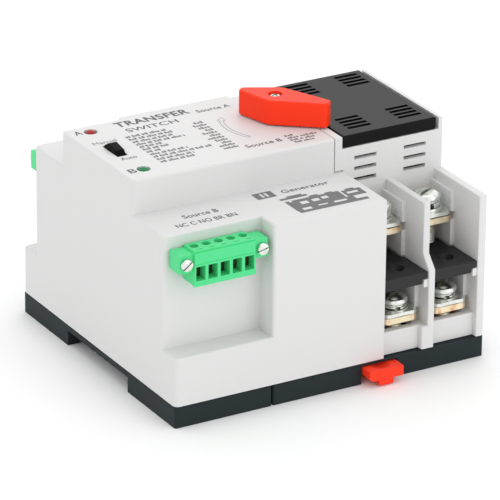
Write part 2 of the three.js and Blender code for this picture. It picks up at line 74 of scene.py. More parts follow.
# terminals: the poles in x, and for each row the depth of its screws, the underside of its bars,
# the height of the washers and of the plain one among them, and where the screw ends
POLES = {"left": 74.05, "right": 90.35}
LEVELS = {"lower": {"depth": 7.0, "bar": 15.0, "washers": 1.2, "plain": 0.35, "tip": 11.1},
          "upper": {"depth": 16.4, "bar": 38.2, "washers": 2.7, "plain": 1.0, "tip": 30.7}}
BAR_THICK = 1.8
CLAMP_THICK, CLAMP_GAP = 1.1, 0.1
SIDES = {"front": lambda depth: depth, "back": lambda depth: DEPTH - depth}
# plugs: five ways and two ears each
WAYS = 5
PLUG_CENTRE, PLUG_PITCH = 15.8, 3.81
WAY_XS = [PLUG_CENTRE + (i - (WAYS - 1) / 2) * PLUG_PITCH for i in range(WAYS)]
EAR_OFFSET, EAR_HEIGHT = 11.85, 47.8
EAR_XS = {"left": PLUG_CENTRE - EAR_OFFSET, "right": PLUG_CENTRE + EAR_OFFSET}
# controls: the handle turns about AXIS; the latch gives its left, right and front ends
AXIS = (57.0, 45.0)
HANDLE_BOTTOM, HANDLE_SEAT, HANDLE_TOP = 65.2, 70.5, 72.4
HANDLE_ANGLE = 128
LAMP_X, LAMP_YS = 6.9, (30.6, 61.4)
LAMP_HOLE, LAMP_RADIUS, LAMP_TOP = 1.95, 1.65, 65.3
ROCKER = (6.4, 46.0)
LATCH = (59.95, 71.0, -4.0)
SPRING = (12.3, 21.7)
# how far printing stands off the face
INK = 0.02


# ---------------------------------------------------------------- materials
def shader(name, color, roughness, metallic=0.0, specular=0.5):
    material = bpy.data.materials.new(name)
    material.use_nodes = True
    tree = material.node_tree
    surface = tree.nodes["Principled BSDF"]
    surface.inputs["Base Color"].default_value = (*color, 1)
    surface.inputs["Roughness"].default_value = roughness
    surface.inputs["Metallic"].default_value = metallic
    surface.inputs["Specular IOR Level"].default_value = specular
    return material, tree, surface


def noise(tree, scale, detail=3, stretch=None):
    """A noise texture fixed to the piece, drawn out along one axis where stretch says so."""
    coords = tree.nodes.new("ShaderNodeTexCoord").outputs["Object"]
    texture = tree.nodes.new("ShaderNodeTexNoise")
    texture.inputs["Scale"].default_value = scale
    texture.inputs["Detail"].default_value = detail
    if stretch:
        mapping = tree.nodes.new("ShaderNodeMapping")
        mapping.inputs["Scale"].default_value = stretch
        tree.links.new(coords, mapping.inputs["Vector"])
        coords = mapping.outputs["Vector"]
    tree.links.new(coords, texture.inputs["Vector"])
    return texture


def tone(tree, surface, texture, stops):
    """Colours the surface by the texture, through a ramp of (position, colour) stops."""
    ramp = tree.nodes.new("ShaderNodeValToRGB")
    elements = ramp.color_ramp.elements
    for index, (position, color) in enumerate(stops):
        stop = elements[index] if index < 2 else elements.new(position)
        stop.position = position
        stop.color = (*color, 1)
    tree.links.new(texture.outputs["Fac"], ramp.inputs["Fac"])
    tree.links.new(ramp.outputs["Color"], surface.inputs["Base Color"])


def relief(tree, surface, texture, strength, distance=0.00004):
    """A small relief on the surface, in metres."""
    bump = tree.nodes.new("ShaderNodeBump")
    bump.inputs["Strength"].default_value = strength
    bump.inputs["Distance"].default_value = distance
    tree.links.new(texture.outputs["Fac"], bump.inputs["Height"])
    tree.links.new(bump.outputs["Normal"], surface.inputs["Normal"])


def grain(tree, surface, color, scale, spread, bump, stretch=None):
    """Fine texture: a small change of tone and a small relief."""
    texture = noise(tree, scale, stretch=stretch)
    dark = [c * (1 - spread) for c in color]
    pale = [min(1, c * (1 + spread)) for c in color]
    tone(tree, surface, texture, [(0.3, dark), (0.7, pale)])
    relief(tree, surface, texture, bump)


def plastic(name, color, roughness, specular=0.5, scale=1800.0, spread=0.02, bump=0.25):
    material, tree, surface = shader(name, color, roughness, 0.0, specular)
    grain(tree, surface, color, scale, spread, bump)
    return material


def metal(name, color, roughness, scale=600.0, spread=0.12, bump=0.3, stretch=None):
    material, tree, surface = shader(name, color, roughness, 1.0)
    grain(tree, surface, color, scale, spread, bump, stretch)
    return material


def stained_copper():
    """Rolled copper with a pale plated skin that is worn through in patches."""
    material, tree, surface = shader("copper", (0.85, 0.70, 0.48), 0.32, 1.0)
    patches = noise(tree, 260.0, 5)
    patches.inputs["Roughness"].default_value = 0.62
    tone(tree, surface, patches, [(0.30, (0.46, 0.20, 0.09)), (0.40, (0.80, 0.50, 0.30)),
                                  (0.49, (0.88, 0.74, 0.52)), (0.66, (0.84, 0.80, 0.58))])
    relief(tree, surface, noise(tree, 900.0, 4), 0.3)
    return material


def lens(name, color):
    """Tinted clear plastic with a glossy skin."""
    material, tree, surface = shader(name, color, 0.2, 0.0, 0.3)
    surface.inputs["Coat Weight"].default_value = 0.25
    surface.inputs["Coat Roughness"].default_value = 0.08
    grain(tree, surface, color, 900.0, 0.15, 0.1)
    return material


MATERIAL = {
    "shell_white": plastic("shell_white", (0.710, 0.708, 0.706), 0.5, 0.3, spread=0.008, bump=0.15),
    "base_dark": plastic("base_dark", (0.014, 0.022, 0.025), 0.55, 0.2, spread=0.06),
    "cover_black": plastic("cover_black", (0.003, 0.003, 0.003), 0.38, 0.12, spread=0.08),
    "handle_red": plastic("handle_red", (1.0, 0.042, 0.010), 0.42, 0.15, spread=0.015),
    "latch_red": plastic("latch_red", (1.0, 0.048, 0.018), 0.42, 0.15, spread=0.015),
    "spring_steel": metal("spring_steel", (0.55, 0.56, 0.58), 0.3),
    "plug_green": plastic("plug_green", (0.085, 0.71, 0.27), 0.42, 0.25, spread=0.02),
    "header_green": plastic("header_green", (0.06, 0.62, 0.21), 0.45, 0.25, spread=0.02),
    "barrier_black": plastic("barrier_black", (0.016, 0.016, 0.017), 0.5, 0.35, spread=0.06),
    "rocker_black": plastic("rocker_black", (0.003, 0.003, 0.003), 0.45, 0.06, spread=0.06),
    "gear_nylon": plastic("gear_nylon", (0.80, 0.76, 0.64), 0.5),
    "carriage_brown": plastic("carriage_brown", (0.20, 0.10, 0.05), 0.6, spread=0.08),
    "board_green": plastic("board_green", (0.02, 0.17, 0.06), 0.35),
    "zinc_plate": metal("zinc_plate", (0.78, 0.80, 0.75), 0.24, spread=0.08),
    "copper": stained_copper(),
    "steel": metal("steel", (0.55, 0.57, 0.58), 0.38, stretch=(1, 12, 1)),
    "lamp_red": lens("lamp_red", (0.34, 0.018, 0.012)),
    "lamp_green": lens("lamp_green", (0.012, 0.22, 0.075)),
}
PRINT = plastic("print_grey", (0.10, 0.10, 0.11), 0.55, 0.3, spread=0.05, bump=0.05)
PRINT_PALE = plastic("print_pale", (0.24, 0.24, 0.25), 0.55, 0.3, spread=0.05, bump=0.05)
PRINT_MID = plastic("print_mid_grey", (0.17, 0.17, 0.175), 0.55, 0.3, spread=0.05, bump=0.05)
PRINT_WHITE = plastic("print_white", (0.70, 0.70, 0.71), 0.5, 0.3, spread=0.02, bump=0.05)
# Near-black metal for the wire clamps and screw ends deep in the plug's openings: painted shade, much
# darker than their plated colour.
PLUG_CLAMP_SHADE = metal("plug_clamp_painted_shade", (0.10, 0.085, 0.06), 0.5)

for name, node in NODES.items():
    for entry in node.material_slots:
        entry.material = MATERIAL[SLOT_OF[name]]
    if not node.material_slots:
        node.data.materials.append(MATERIAL[SLOT_OF[name]])


# ---------------------------------------------------------------- mesh tools
def link(obj):
    bpy.context.scene.collection.objects.link(obj)
    return obj


def cad(node):
    """A copy of a CAD node's shape in part millimetres, with its flat faces joined up."""
    bm = bmesh.new()
    bm.from_mesh(NODES[node].data)
    bm.transform(Matrix.Translation(ORIGIN) @ Matrix.Scale(1000, 4) @ NODES[node].matrix_world)
    bmesh.ops.remove_doubles(bm, verts=bm.verts, dist=0.002)
    bmesh.ops.dissolve_limit(bm, angle_limit=math.radians(0.8), verts=bm.verts, edges=bm.edges,
                             use_dissolve_boundaries=False)
    bmesh.ops.recalc_face_normals(bm, faces=bm.faces)
    return bm


def near(middle, half):
    return (middle - half, middle + half)


def arc(count, step, first=1):
    """Angles in radians, step degrees apart, from first steps on."""
    return [math.radians(step * i) for i in range(first, first + count)]


def between(at, a, b):
    """The span between two depths on one side of the part, lower end first."""
    return tuple(sorted((at(a), at(b))))


def vertical(edge):
    a, b = edge.verts
    return abs(a.co.x - b.co.x) < 0.02 and abs(a.co.y - b.co.y) < 0.02


def on(edge, **where):
    """True where both ends of the edge lie at these coordinates."""
    for axis, value in where.items():
        i = "xyz".index(axis)
        low, high = value if isinstance(value, tuple) else (value - 0.03, value + 0.03)
        if not all(low <= v.co[i] <= high for v in edge.verts):
            return False
    return True


def soften(bm, radius, test=None, segments=2, sharpest=30.0):
    """Rounds the outward edges that turn by more than sharpest degrees and pass the test."""
    edges = []
    for edge in bm.edges:
        fold = edge.calc_face_angle_signed(0.0) if len(edge.link_faces) == 2 else 0.0
        if fold >= math.radians(sharpest) and (test is None or test(edge)):
            edges.append(edge)
    if edges:
        bmesh.ops.bevel(bm, geom=edges, offset=radius, offset_type="OFFSET", segments=segments,
                        profile=0.5, affect="EDGES", clamp_overlap=True, loop_slide=True)
    return bm


def finish_mesh(bm, name, material, body, slot, replaced=(), weighted=True):
    """Makes the object, in metres in the part's frame, hangs it under the body it rides on and hides the
    CAD nodes it replaces.
    """
    bmesh.ops.remove_doubles(bm, verts=bm.verts, dist=0.0005)
    bm.transform(Matrix.Scale(0.001, 4) @ Matrix.Translation(-ORIGIN))
    mesh = bpy.data.meshes.new(name)
    for face in bm.faces:
        face.smooth = True
    bm.to_mesh(mesh)
    bm.free()
    mesh.set_sharp_from_angle(angle=math.radians(35))
    mesh.materials.append(material)
    obj = link(bpy.data.objects.new(name, mesh))
    if weighted:
        modifier = obj.modifiers.new("weighted", "WEIGHTED_NORMAL")
        modifier.keep_sharp = True
        modifier.weight = 80
    for node in replaced:
        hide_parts(node)
    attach(obj, body)
    return obj


def piece(node, bm, **options):
    """The finished visible form of one CAD node."""
    slot = SLOT_OF[node]
    return finish_mesh(bm, node + "_visible", MATERIAL[slot], BODY_OF[node], slot, [node], **options)


def extra(bm, name, material, body="root", slot="shell_white", **options):
    return finish_mesh(bm, name, material, body, slot, **options)


def box(x, y, z):
    """A block between the ends given for each axis."""
    bm = bmesh.new()
    for vert in bmesh.ops.create_cube(bm, size=1)["verts"]:
        vert.co = Vector([(low + high) / 2 + co * (high - low)
                          for co, (low, high) in zip(vert.co, (x, y, z))])
    return bm


def boxes(*spans):
    return [box(*span) for span in spans]


def lathe(bm, profile, centre, steps=48, axis="z", facing=1):
    """Turns a profile of (radius, along) about an axis through centre; facing -1 turns it end for end."""
    rings = []
    for radius, along in profile:
        ring = []
        for i in range(1 if radius < 1e-6 else steps):
            a = 2 * math.pi * i / steps
            p, q = radius * math.cos(a), radius * math.sin(a)
            local = Vector((p, q, along)) if axis == "z" else Vector((p, along * facing, q))
            ring.append(bm.verts.new(Vector(centre) + local))
        rings.append(ring)
    for a, b in zip(rings, rings[1:]):
        if len(a) == 1 and len(b) == 1:
            continue
        for i in range(steps):
            j = (i + 1) % steps
            if len(a) == 1:
                bm.faces.new((a[0], b[i], b[j]))
            elif len(b) == 1:
                bm.faces.new((a[i], a[j], b[0]))
            else:
                bm.faces.new((a[i], a[j], b[j], b[i]))
    return bm


def combined(bm, others, operation="DIFFERENCE"):
    """bm with other meshes cut out of it or joined to it, all in part millimetres."""
    def holder(shape):
        bmesh.ops.recalc_face_normals(shape, faces=shape.faces)
        mesh = bpy.data.meshes.new("tool")
        shape.to_mesh(mesh)
        shape.free()
        return link(bpy.data.objects.new("tool", mesh))

    base = holder(bm)
    for other in others:
        tool = holder(other)
        modifier = base.modifiers.new("tool", "BOOLEAN")
        modifier.operation = operation
        modifier.solver = "EXACT"
        modifier.object = tool
        bpy.context.view_layer.update()
        deps = bpy.context.evaluated_depsgraph_get()
        result = bpy.data.meshes.new_from_object(base.evaluated_get(deps))
        base.modifiers.remove(modifier)
        old, spent = base.data, tool.data
        base.data = result
        bpy.data.objects.remove(tool)
        bpy.data.meshes.remove(spent)
        bpy.data.meshes.remove(old)
    out = bmesh.new()
    out.from_mesh(base.data)
    spent = base.data
    bpy.data.objects.remove(base)
    bpy.data.meshes.remove(spent)
    return out


def cylinder(radius, ends, centre, steps=48, axis="z"):
    low, high = sorted(ends)
    return lathe(bmesh.new(), [(0, low), (radius, low), (radius, high), (0, high)], centre, steps, axis)


def hole(radius, ends, x, y, steps=48):
    """A round bar along z, mostly used as a cutter."""
    return cylinder(radius, ends, (x, y, 0), steps)


def hole_along_y(radius, ends, x, z, steps=48):
    return cylinder(radius, ends, (x, 0, z), steps, "y")


def upright(outline, heights):
    """A prism over an outline in x and y."""
    bm = bmesh.new()
    rings = [[bm.verts.new((x, y, z)) for x, y in outline] for z in heights]
    for ring in rings:
        bm.faces.new(ring)
    for i in range(len(outline)):
        j = (i + 1) % len(outline)
        bm.faces.new((rings[0][i], rings[0][j], rings[1][j], rings[1][i]))
    bmesh.ops.recalc_face_normals(bm, faces=bm.faces)
    return bm


def rectangle(x, y):
    return [(x[0], y[0]), (x[1], y[0]), (x[1], y[1]), (x[0], y[1])]


# ---------------------------------------------------------------- housings
CORNER, EDGE, THIN_EDGE = 1.5, 0.7, 0.35


def shelled(outer):
    """The span inside two walls."""
    return (outer[0] + WALL, outer[1] - WALL)


def main_housing():
    """Three stacked blocks with rounded corners, hollowed out from below and cut for its fittings."""
    depth, end = (0, DEPTH), BLOCK_END
    inset, far = RECESS_INSET, DEPTH - RECESS_INSET
    low = upright(rectangle((0, end), depth), (SHELL_BOTTOM, LOW_TOP))
    middle = upright([(0, inset), (RECESS_END, inset), (RECESS_END, 0), (end, 0), (end, DEPTH),
                      (RECESS_END, DEPTH), (RECESS_END, far), (0, far)], (SHELL_BOTTOM + 4, MID_TOP))
    nose = upright(rectangle((0, CAP_END), NOSE), (LOW_TOP, NOSE_TOP))
    for block, top, right in ((low, LOW_TOP, end), (middle, MID_TOP, end), (nose, NOSE_TOP, CAP_END)):
        soften(block, CORNER, lambda e: vertical(e) and on(e, x=0), 5)
        if block is middle:
            soften(block, 1.0, lambda e: vertical(e) and on(e, x=RECESS_END), 4)
        soften(block, EDGE, lambda e: on(e, z=top) and not on(e, x=right), 4)
    bm = combined(low, [middle, nose], "UNION")
    inner = inset + WALL
    inside = shelled((0, end))
    ceiling = MID_TOP - WALL
    panel = (60, 70)
    cutters = boxes((inside, (inner, DEPTH - inner), (0, ceiling)),
                    ((RECESS_END + WALL, inside[1]), shelled(depth), (0, ceiling)),
                    (inside, shelled(depth), (0, LOW_TOP - WALL)),
                    (shelled((0, CAP_END)), shelled(NOSE), (ceiling - 1, NOSE_TOP - WALL)),
                    (near(ROCKER[0], 1.7), near(ROCKER[1], 4.55), panel),
                    ((end - 3, end + 1), SLIDE_WAY, (23.5, 31.5)))
    cutters += [hole(LAMP_HOLE, panel, LAMP_X, y) for y in LAMP_YS]
    cutters.append(hole(3.6, panel, *AXIS))
    for at in SIDES.values():
        through = between(at, inset - 1, inner + 1)
        cutters.append(box(near(PLUG_CENTRE, 9.6), through, (42.6, 50.4)))
        cutters += [hole_along_y(1.4, through, x, EAR_HEIGHT) for x in EAR_XS.values()]
    return piece("main_housing", combined(bm, cutters))


def divider_and_foot(at):
    """The wall between the two poles on one side, with its bent front edge and the foot beside it."""
    outline = [(24.5, 12), (24.5, BAY_WALL_TOP), (3.4, BAY_WALL_TOP), (3.4, 34), (0, 30.1),
               (0, SHELL_BOTTOM), (3, SHELL_BOTTOM), (3, 12)]
    divider = upright([(at(y), z) for y, z in outline], DIVIDER)
    divider.transform(Matrix(((0, 0, 1, 0), (1, 0, 0, 0), (0, 1, 0, 0), (0, 0, 0, 1))))
    bmesh.ops.recalc_face_normals(divider, faces=divider.faces)
    soften(divider, THIN_EDGE, lambda e: not on(e, z=SHELL_BOTTOM), 3, 20)
    foot = upright(rectangle((79.2, DIVIDER[1] - 0.4), between(at, 0, 3)), (SHELL_BOTTOM, BAY_FLOOR))
    soften(foot, 0.6, lambda e: not on(e, z=SHELL_BOTTOM), 3)
    return [divider, foot]


def bay_ribs(at):
    """Ribs that guide the bars and barriers down the right wall of each bay."""
    upper, lower = LEVELS["upper"]["bar"], LEVELS["lower"]["bar"]
    ribs = []
    for wall in (DIVIDER[0], END_WALL):
        face = (wall - 1.25, wall + 0.1)
        deep = between(at, 13, 24.5)
        ribs += boxes((face, deep, (30.1, upper - 0.3)),
                      (face, deep, (upper + BAR_THICK + 0.3, 46.5)),
                      (face, between(at, 5.4, 24.5), (lower + BAR_THICK + 0.3, 27.5)),
                      ((wall - 1.4, wall + 0.1), between(at, 0.5, 3), (25.2, 27.5)))
    return ribs


def switch_housing():
    """The tower under the cover, its end wall, the dividers and the floor of the bays."""
    left = BLOCK_END + SEAM_GAP
    strip = upright(rectangle((left, WIDTH - 0.5), (FLOOR_INSET, DEPTH - FLOOR_INSET)),
                    (SHELL_BOTTOM, BAY_FLOOR))
    soften(strip, 0.3, lambda e: on(e, z=BAY_FLOOR), 2)
    tower = upright(rectangle((left, WIDTH), NOSE), (SHELL_BOTTOM, NOSE_TOP))
    cap = upright(rectangle((CAP_END + SEAM_GAP, WIDTH), NOSE), (MID_TOP + SEAM_GAP, NOSE_TOP))
    for block in (tower, cap):
        soften(block, EDGE, lambda e: on(e, x=WIDTH) and (vertical(e) or on(e, z=NOSE_TOP)), 3)
    wall = upright(rectangle((END_WALL, WIDTH), (0, DEPTH)), (SHELL_BOTTOM, BAY_WALL_TOP))
    soften(wall, EDGE, lambda e: vertical(e) and on(e, x=WIDTH), 4)
    soften(wall, THIN_EDGE, lambda e: not on(e, z=SHELL_BOTTOM), 3)
    joined = [tower, cap, wall]
    for at in SIDES.values():
        joined += divider_and_foot(at)
    bm = combined(strip, joined, "UNION")
    ribs = [rib for at in SIDES.values() for rib in bay_ribs(at)]
    for rib in ribs:
        soften(rib, 0.25, lambda e: e.calc_length() > 1.5, 2)
    bm = combined(bm, ribs, "UNION")
    across, under_cover = (left + 1.2, WIDTH - WALL), (66.6, 98.4)
    cutters = boxes((across, (4, DEPTH - 4), (0, BAY_FLOOR - WALL)),
                    (across, shelled(NOSE), (0, 56.1)),
                    (under_cover, shelled(NOSE), (56, NOSE_TOP + 1)),
                    (under_cover, (NOSE[0] - 1, NOSE[1] + 1), (COVER_SEAT, NOSE_TOP + 1)),
                    ((left - 1, left + 3), SLIDE_WAY, (23.5, 26.5)))
    for at in SIDES.values():
        through = between(at, NOSE[0] - 1, NOSE[0] + WALL + 1)
        for x in POLES.values():
            cutters.append(box(near(x, 4.5), between(at, 4, 12), (10, BAY_FLOOR + 1)))
            cutters += [box(near(x, 5.9), through, (level["bar"] - 0.4, level["bar"] + BAR_THICK + 0.4))
                        for level in LEVELS.values()]
            cutters += [box(near(x + 0.25, 3.65), through, row)
                        for row in ((57.2, 58.25), (53.9, 55), (50.5, 51.7))]
    return piece("switch_housing", combined(bm, cutters))


def vent_cover():
    bm = cad("vent_cover")
    right = max(v.co.x for v in bm.verts)
    top = max(v.co.z for v in bm.verts)
    soften(bm, 0.9, lambda e: on(e, x=right) and (vertical(e) or on(e, z=top)) and e.calc_length() > 1, 4)
    soften(bm, 0.3, lambda e: on(e, z=top) and e.calc_length() > 8, 3)
    return piece("vent_cover", bm)


def base(node, ends):
    """The dark base: larger roundings on its outer corners and along its lower edges."""
    def outer(edge):
        return any(on(edge, x=x) for x in ends) and (on(edge, y=0) or on(edge, y=DEPTH))

    def lower(edge):
        front, back = (-0.1, 1), (DEPTH - 1, DEPTH + 0.1)
        return on(edge, z=0) and (on(edge, y=front) or on(edge, y=back)) and edge.calc_length() > 8

    bm = cad(node)
    soften(bm, 0.8, lambda e: vertical(e) and outer(e), 3)
    soften(bm, 0.5, lower, 3)
    soften(bm, EDGE, lambda e: on(e, x=LATCH[0] - 0.3, z=0), 3)
    soften(bm, 0.15, None, 1, 50)
    return piece(node, bm)


# ---------------------------------------------------------------- printing
def label(text, name, x, y, z, length, height, material=PRINT, bold=0.0):
    """A word printed on a level face: (x, y) is its middle, bold thickens it and spaces it out."""
    curve = bpy.data.curves.new(name, "FONT")
    curve.body = text
    curve.offset = bold
    curve.space_character = 1.0 + 3 * bold
    holder = link(bpy.data.objects.new(name, curve))
    bpy.context.view_layer.update()
    deps = bpy.context.evaluated_depsgraph_get()
    mesh = bpy.data.meshes.new_from_object(holder.evaluated_get(deps))
    bpy.data.objects.remove(holder)
    bm = bmesh.new()
    bm.from_mesh(mesh)
    bpy.data.meshes.remove(mesh)
    xs, ys = ([v.co[axis] for v in bm.verts] for axis in (0, 1))
    left, right, foot, head = min(xs), max(xs), min(ys), max(ys)
    for v in bm.verts:
        v.co = Vector((x + (v.co.x - (left + right) / 2) * length / (right - left),
                       y + (v.co.y - (foot + head) / 2) * height / (head - foot), z))
    return extra(bm, name, material, weighted=False)


def flat_shapes(name, outlines, z, material):
    bm = bmesh.new()
    for outline in outlines:
        bm.faces.new([bm.verts.new((x, y, z)) for x, y in outline])
    return extra(bm, name, material, weighted=False)


def words(start, end, shift):
    """Spans of words of uneven length from start to end, each followed by a space."""
    spans, x, k = [], start, shift
    while x < end - 0.4:
        length = (1.6, 2.6, 2.1, 3.2)[k % 4]
        spans.append((x, min(x + length, end)))
        x += length + 0.45
        k += 1
    return spans


def small_print(name, rows, height, z):
    """Words too small to read: letter-sized marks of uneven height in rows of (y, [(x0, x1), ...])."""
    letter, filled = 0.86, 0.8
    marks = []
    for y, spans in rows:
        foot = y - height / 2
        for a, b in spans:
            count = max(1, round((b - a) / letter))
            pitch = (b - a) / count
            for k in range(count):
                tall = height * (1.0, 0.68, 0.72, 0.95, 0.66)[(k + count) % 5]
                marks.append(rectangle((a + k * pitch, a + (k + filled) * pitch), (foot, foot + tall)))
    flat_shapes(name, marks, z, PRINT_MID)


def turning_arrow(name, radius, start, end, width, z, material):
    """A curved outline arrow that shows which way the handle turns, from angle start to angle end."""
    bm = bmesh.new()
    line, steps = 0.1, 24
    neck = end + (10 if start > end else -10)

    def at(angle, offset):
        a, r = math.radians(angle), radius + offset
        return Vector((AXIS[0] + r * math.cos(a), AXIS[1] + r * math.sin(a), z))

    def ribbon(points):
        left, right = [], []
        for i, point in enumerate(points):
            before, after = points[max(i - 1, 0)], points[min(i + 1, len(points) - 1)]
            along = (after - before).normalized()
            side = Vector((-along.y, along.x, 0)) * line
            left.append(bm.verts.new(point + side))
            right.append(bm.verts.new(point - side))
        for i in range(len(points) - 1):
            bm.faces.new((left[i], left[i + 1], right[i + 1], right[i]))

    shaft = [[at(start + (neck - start) * i / steps, offset) for i in range(steps + 1)]
             for offset in (-width / 2, width / 2)]
    for edge, offset in zip(shaft, (-width, width)):
        ribbon(edge + [at(neck, offset)])
    ribbon([shaft[0][0], shaft[1][0]])
    ribbon([at(neck, -width), at(end, 0), at(neck, width)])
    return extra(bm, name, material, weighted=False)


def generator_set(z):
    """A plain side view of an engine and generator on a skid, in flat blocks with pale windows."""
    solid = [((41.4, 63.4), (3.6, 5.2)), ((41.2, 58.2), (5.2, 12.4)), ((58.2, 60.2), (5.2, 7.4)),
             ((58.8, 64.8), (7.4, 11.8)), ((60.4, 63.2), (11.8, 12.6)), ((49.2, 52.0), (12.4, 13.2)),
             ((54.2, 56.6), (12.4, 13.0)), ((40.8, 49.4), (13.6, 14.8)), ((43.4, 48.2), (14.8, 15.6))]
    windows = [((43.2, 46.0), (5.0, 6.4)), ((44.8, 47.2), (8.8, 10.6)), ((48.6, 50.8), (9.0, 10.7)),
               ((51.8, 53.8), (9.4, 11.0)), ((48.4, 51.4), (5.8, 6.5)), ((53.4, 57.4), (5.5, 6.6)),
               ((59.8, 63.2), (9.2, 10.5)), ((42.4, 43.2), (11.4, 12.4))]
    flat_shapes("print_generator_set", [rectangle(x, y) for x, y in solid], z, PRINT_MID)
    flat_shapes("print_generator_windows", [rectangle(x, y) for x, y in windows], z + INK, PRINT_WHITE)


def data_table(z):
    """The table of ratings: a column of names on the left and one of values on the right."""
    left, right, top, pitch = 13.4, 38.2, 53.0, 2.02
    names = [13.4, 14.6, 12.8, 15.6, 7.2, 8.2, 4.6, 12.0, 18.6, 11.8, 11.2]
    values = [3.0, 4.2, 3.8, 2.6, 4.6, 3.6, 5.2, 4.0, 3.2, 5.0, 4.8]
    rows = [(top - i * pitch, words(left, left + wide, i) + [(right - value, right)])
            for i, (wide, value) in enumerate(zip(names, values))]
    small_print("print_data", rows, 1.45, z)


def note(z):
    """The small note right of the lower label."""
    lines = [[(52.8, 55.6)], [(52.8, 56.4), (56.9, 62.2)], [(52.8, 55.4), (55.9, 57.0), (57.5, 60.6)],
             [(53.2, 55.6), (56.1, 59.6)]]
    small_print("print_note", [(32.6 - i * 1.7, spans) for i, spans in enumerate(lines)], 1.2, z)


def printing():
    top, step = NOSE_TOP + INK, MID_TOP + INK
    label("A", "print_a", 3.2, 62.1, top, 2.3, 2.8, bold=0.015)
    label("B", "print_b", 3.4, 30.6, top, 2.3, 2.8, bold=0.015)
    label("Manual", "print_manual", 6.7, 52.8, top, 7.2, 1.8)
    label("Auto", "print_auto", 7.1, 39.5, top, 4.9, 1.8, bold=0.01)
    label("TRANSFER", "print_title", 26.8, 62.2, top, 23.4, 3.6, bold=0.032)
    label("SWITCH", "print_subtitle", 24.2, 57.2, top, 16.4, 2.6, bold=0.012)
    label("Source A", "print_source_a", 45.6, 60.5, top, 10.6, 2.1, bold=0.02)
    label("Source B", "print_source_b", 45.2, 31.0, top, 11.4, 2.2, bold=0.018)
    data_table(top)
    note(top)
    label("Source B", "print_source_step", 16.9, 16.6, step, 10.9, 2.3, bold=0.018)
    label("NC C NO BR BN", "print_ways", 16.2, 11.8, step, 18.9, 2.3, bold=0.014)
    label("Generator", "print_generator", 51.6, 19.1, step, 15.0, 2.2, bold=0.014)
    badge = (38.7, 19.3)
    flat_shapes("print_badge", [rectangle(near(badge[0], 3.0), near(badge[1], 2.1))], step, PRINT_MID)
    label("II", "print_badge_mark", *badge, step + INK, 2.2, 2.6, PRINT_WHITE, bold=0.03)
    generator_set(step)
    turning_arrow("print_arrow", 15.2, 212, 146, 1.1, top, PRINT_PALE)


# ---------------------------------------------------------------- terminals
def turned_box(centre, length, wide, tall, angle):
    """A cutter for one bar of a screw's recess, turned about the screw."""
    cutter = box(near(0, length / 2), near(0, wide / 2), tall)
    cutter.transform(Matrix.Translation((*centre, 0)) @ Matrix.Rotation(math.radians(angle), 4, "Z"))
    return cutter


def threaded(radius, low, high, pitch=0.8, depth=0.32):
    """Profile of a thread from low to high, as rings."""
    profile, z = [], low
    while z + pitch <= high:
        profile += [(radius - depth, z), (radius, z + pitch * 0.4), (radius, z + pitch * 0.55)]
        z += pitch
    return profile


def screw_head(centre, base):
    """Pan head with a rounded shoulder and a combined slot and cross recess."""
    radius, shoulder, top = 3.95, 1.25, base + 2.75
    profile = [(0, base), (radius - 0.45, base)]
    profile += [(radius - shoulder + shoulder * math.cos(a), base + 1.1 + shoulder * math.sin(a))
                for a in arc(18, 7.5, -7)]
    profile += [(2.0, top - 0.1), (1.0, top - 0.02), (0, top)]
    head = lathe(bmesh.new(), profile, (*centre, 0), 64)
    bars = ((0.95, 9.0, 0.95, 25), (1.2, 4.6, 1.9, 115), (1.2, 4.6, 1.9, 25))
    return combined(head, [turned_box(centre, length, wide, (top - deep, top + 1), angle)
                           for wide, length, deep, angle in bars])


def swept(rings):
    """A solid through rings of equally many points, closed at both ends."""
    bm = bmesh.new()
    loops = [[bm.verts.new(point) for point in ring] for ring in rings]
    for a, b in zip(loops, loops[1:]):
        for i in range(len(a)):
            j = (i + 1) % len(a)
            bm.faces.new((a[i], a[j], b[j], b[i]))
    bm.faces.new(loops[0])
    bm.faces.new(loops[-1])
    return bm


def split_washer(centre, base, height, inner=2.7, outer=3.75, gap_at=258.0, gap=24):
    """A spring lock washer: a rounded ring cut through, with its ends a little apart."""
    steps, rise, play = 60, 0.2, 0.03
    half = (height - rise) / 2 - play
    bulge = [(outer - 0.3 + 0.3 * math.cos(a), half + half * math.sin(a)) for a in arc(7, 30, -3)]
    section = [(inner, 0)] + bulge + [(inner, 2 * half)]
    rings = []
    for i in range(steps + 1):
        a = math.radians(gap_at + gap / 2 + (360 - gap) * i / steps)
        lift = base + play + rise * i / steps
        rings.append([(centre[0] + r * math.cos(a), centre[1] + r * math.sin(a), z + lift)
                      for r, z in section])
    return swept(rings)


def merged(*shapes):
    """Several closed shapes in one mesh, without a boolean."""
    out = bmesh.new()
    for shape in shapes:
        bmesh.ops.recalc_face_normals(shape, faces=shape.faces)
        mesh = bpy.data.meshes.new("part")
        shape.to_mesh(mesh)
        shape.free()
        out.from_mesh(mesh)
        bpy.data.meshes.remove(mesh)
    return out


def plain_washer(x, y, base, height, inner=2.65, outer=4.25, chamfer=0.15):
    low, high, side = base, base + height, outer - chamfer
    profile = [(inner, low), (side, low), (outer, low + height * 0.3), (outer, low + height * 0.7),
               (side, high), (inner, high), (inner, low)]
    return lathe(bmesh.new(), profile, (x, y, 0), 64)


def terminal_screw(node, x, y, level):
    """A terminal screw with its plain washer and its lock washer, in one mesh."""
    seat = level["bar"] + BAR_THICK + 1.4
    base = seat + level["washers"]
    tip, neck = level["tip"], 2.1
    shank = lathe(bmesh.new(), [(0, tip), (1.9, tip)] + threaded(2.45, tip + 0.4, seat - 0.2)
                  + [(neck, seat), (neck, base), (0, base)], (x, y, 0), 40)
    ring = plain_washer(x, y, seat, level["plain"])
    lock = split_washer((x, y), seat + level["plain"], level["washers"] - level["plain"])
    return piece(node, merged(screw_head((x, y), base), shank, ring, lock), weighted=False)


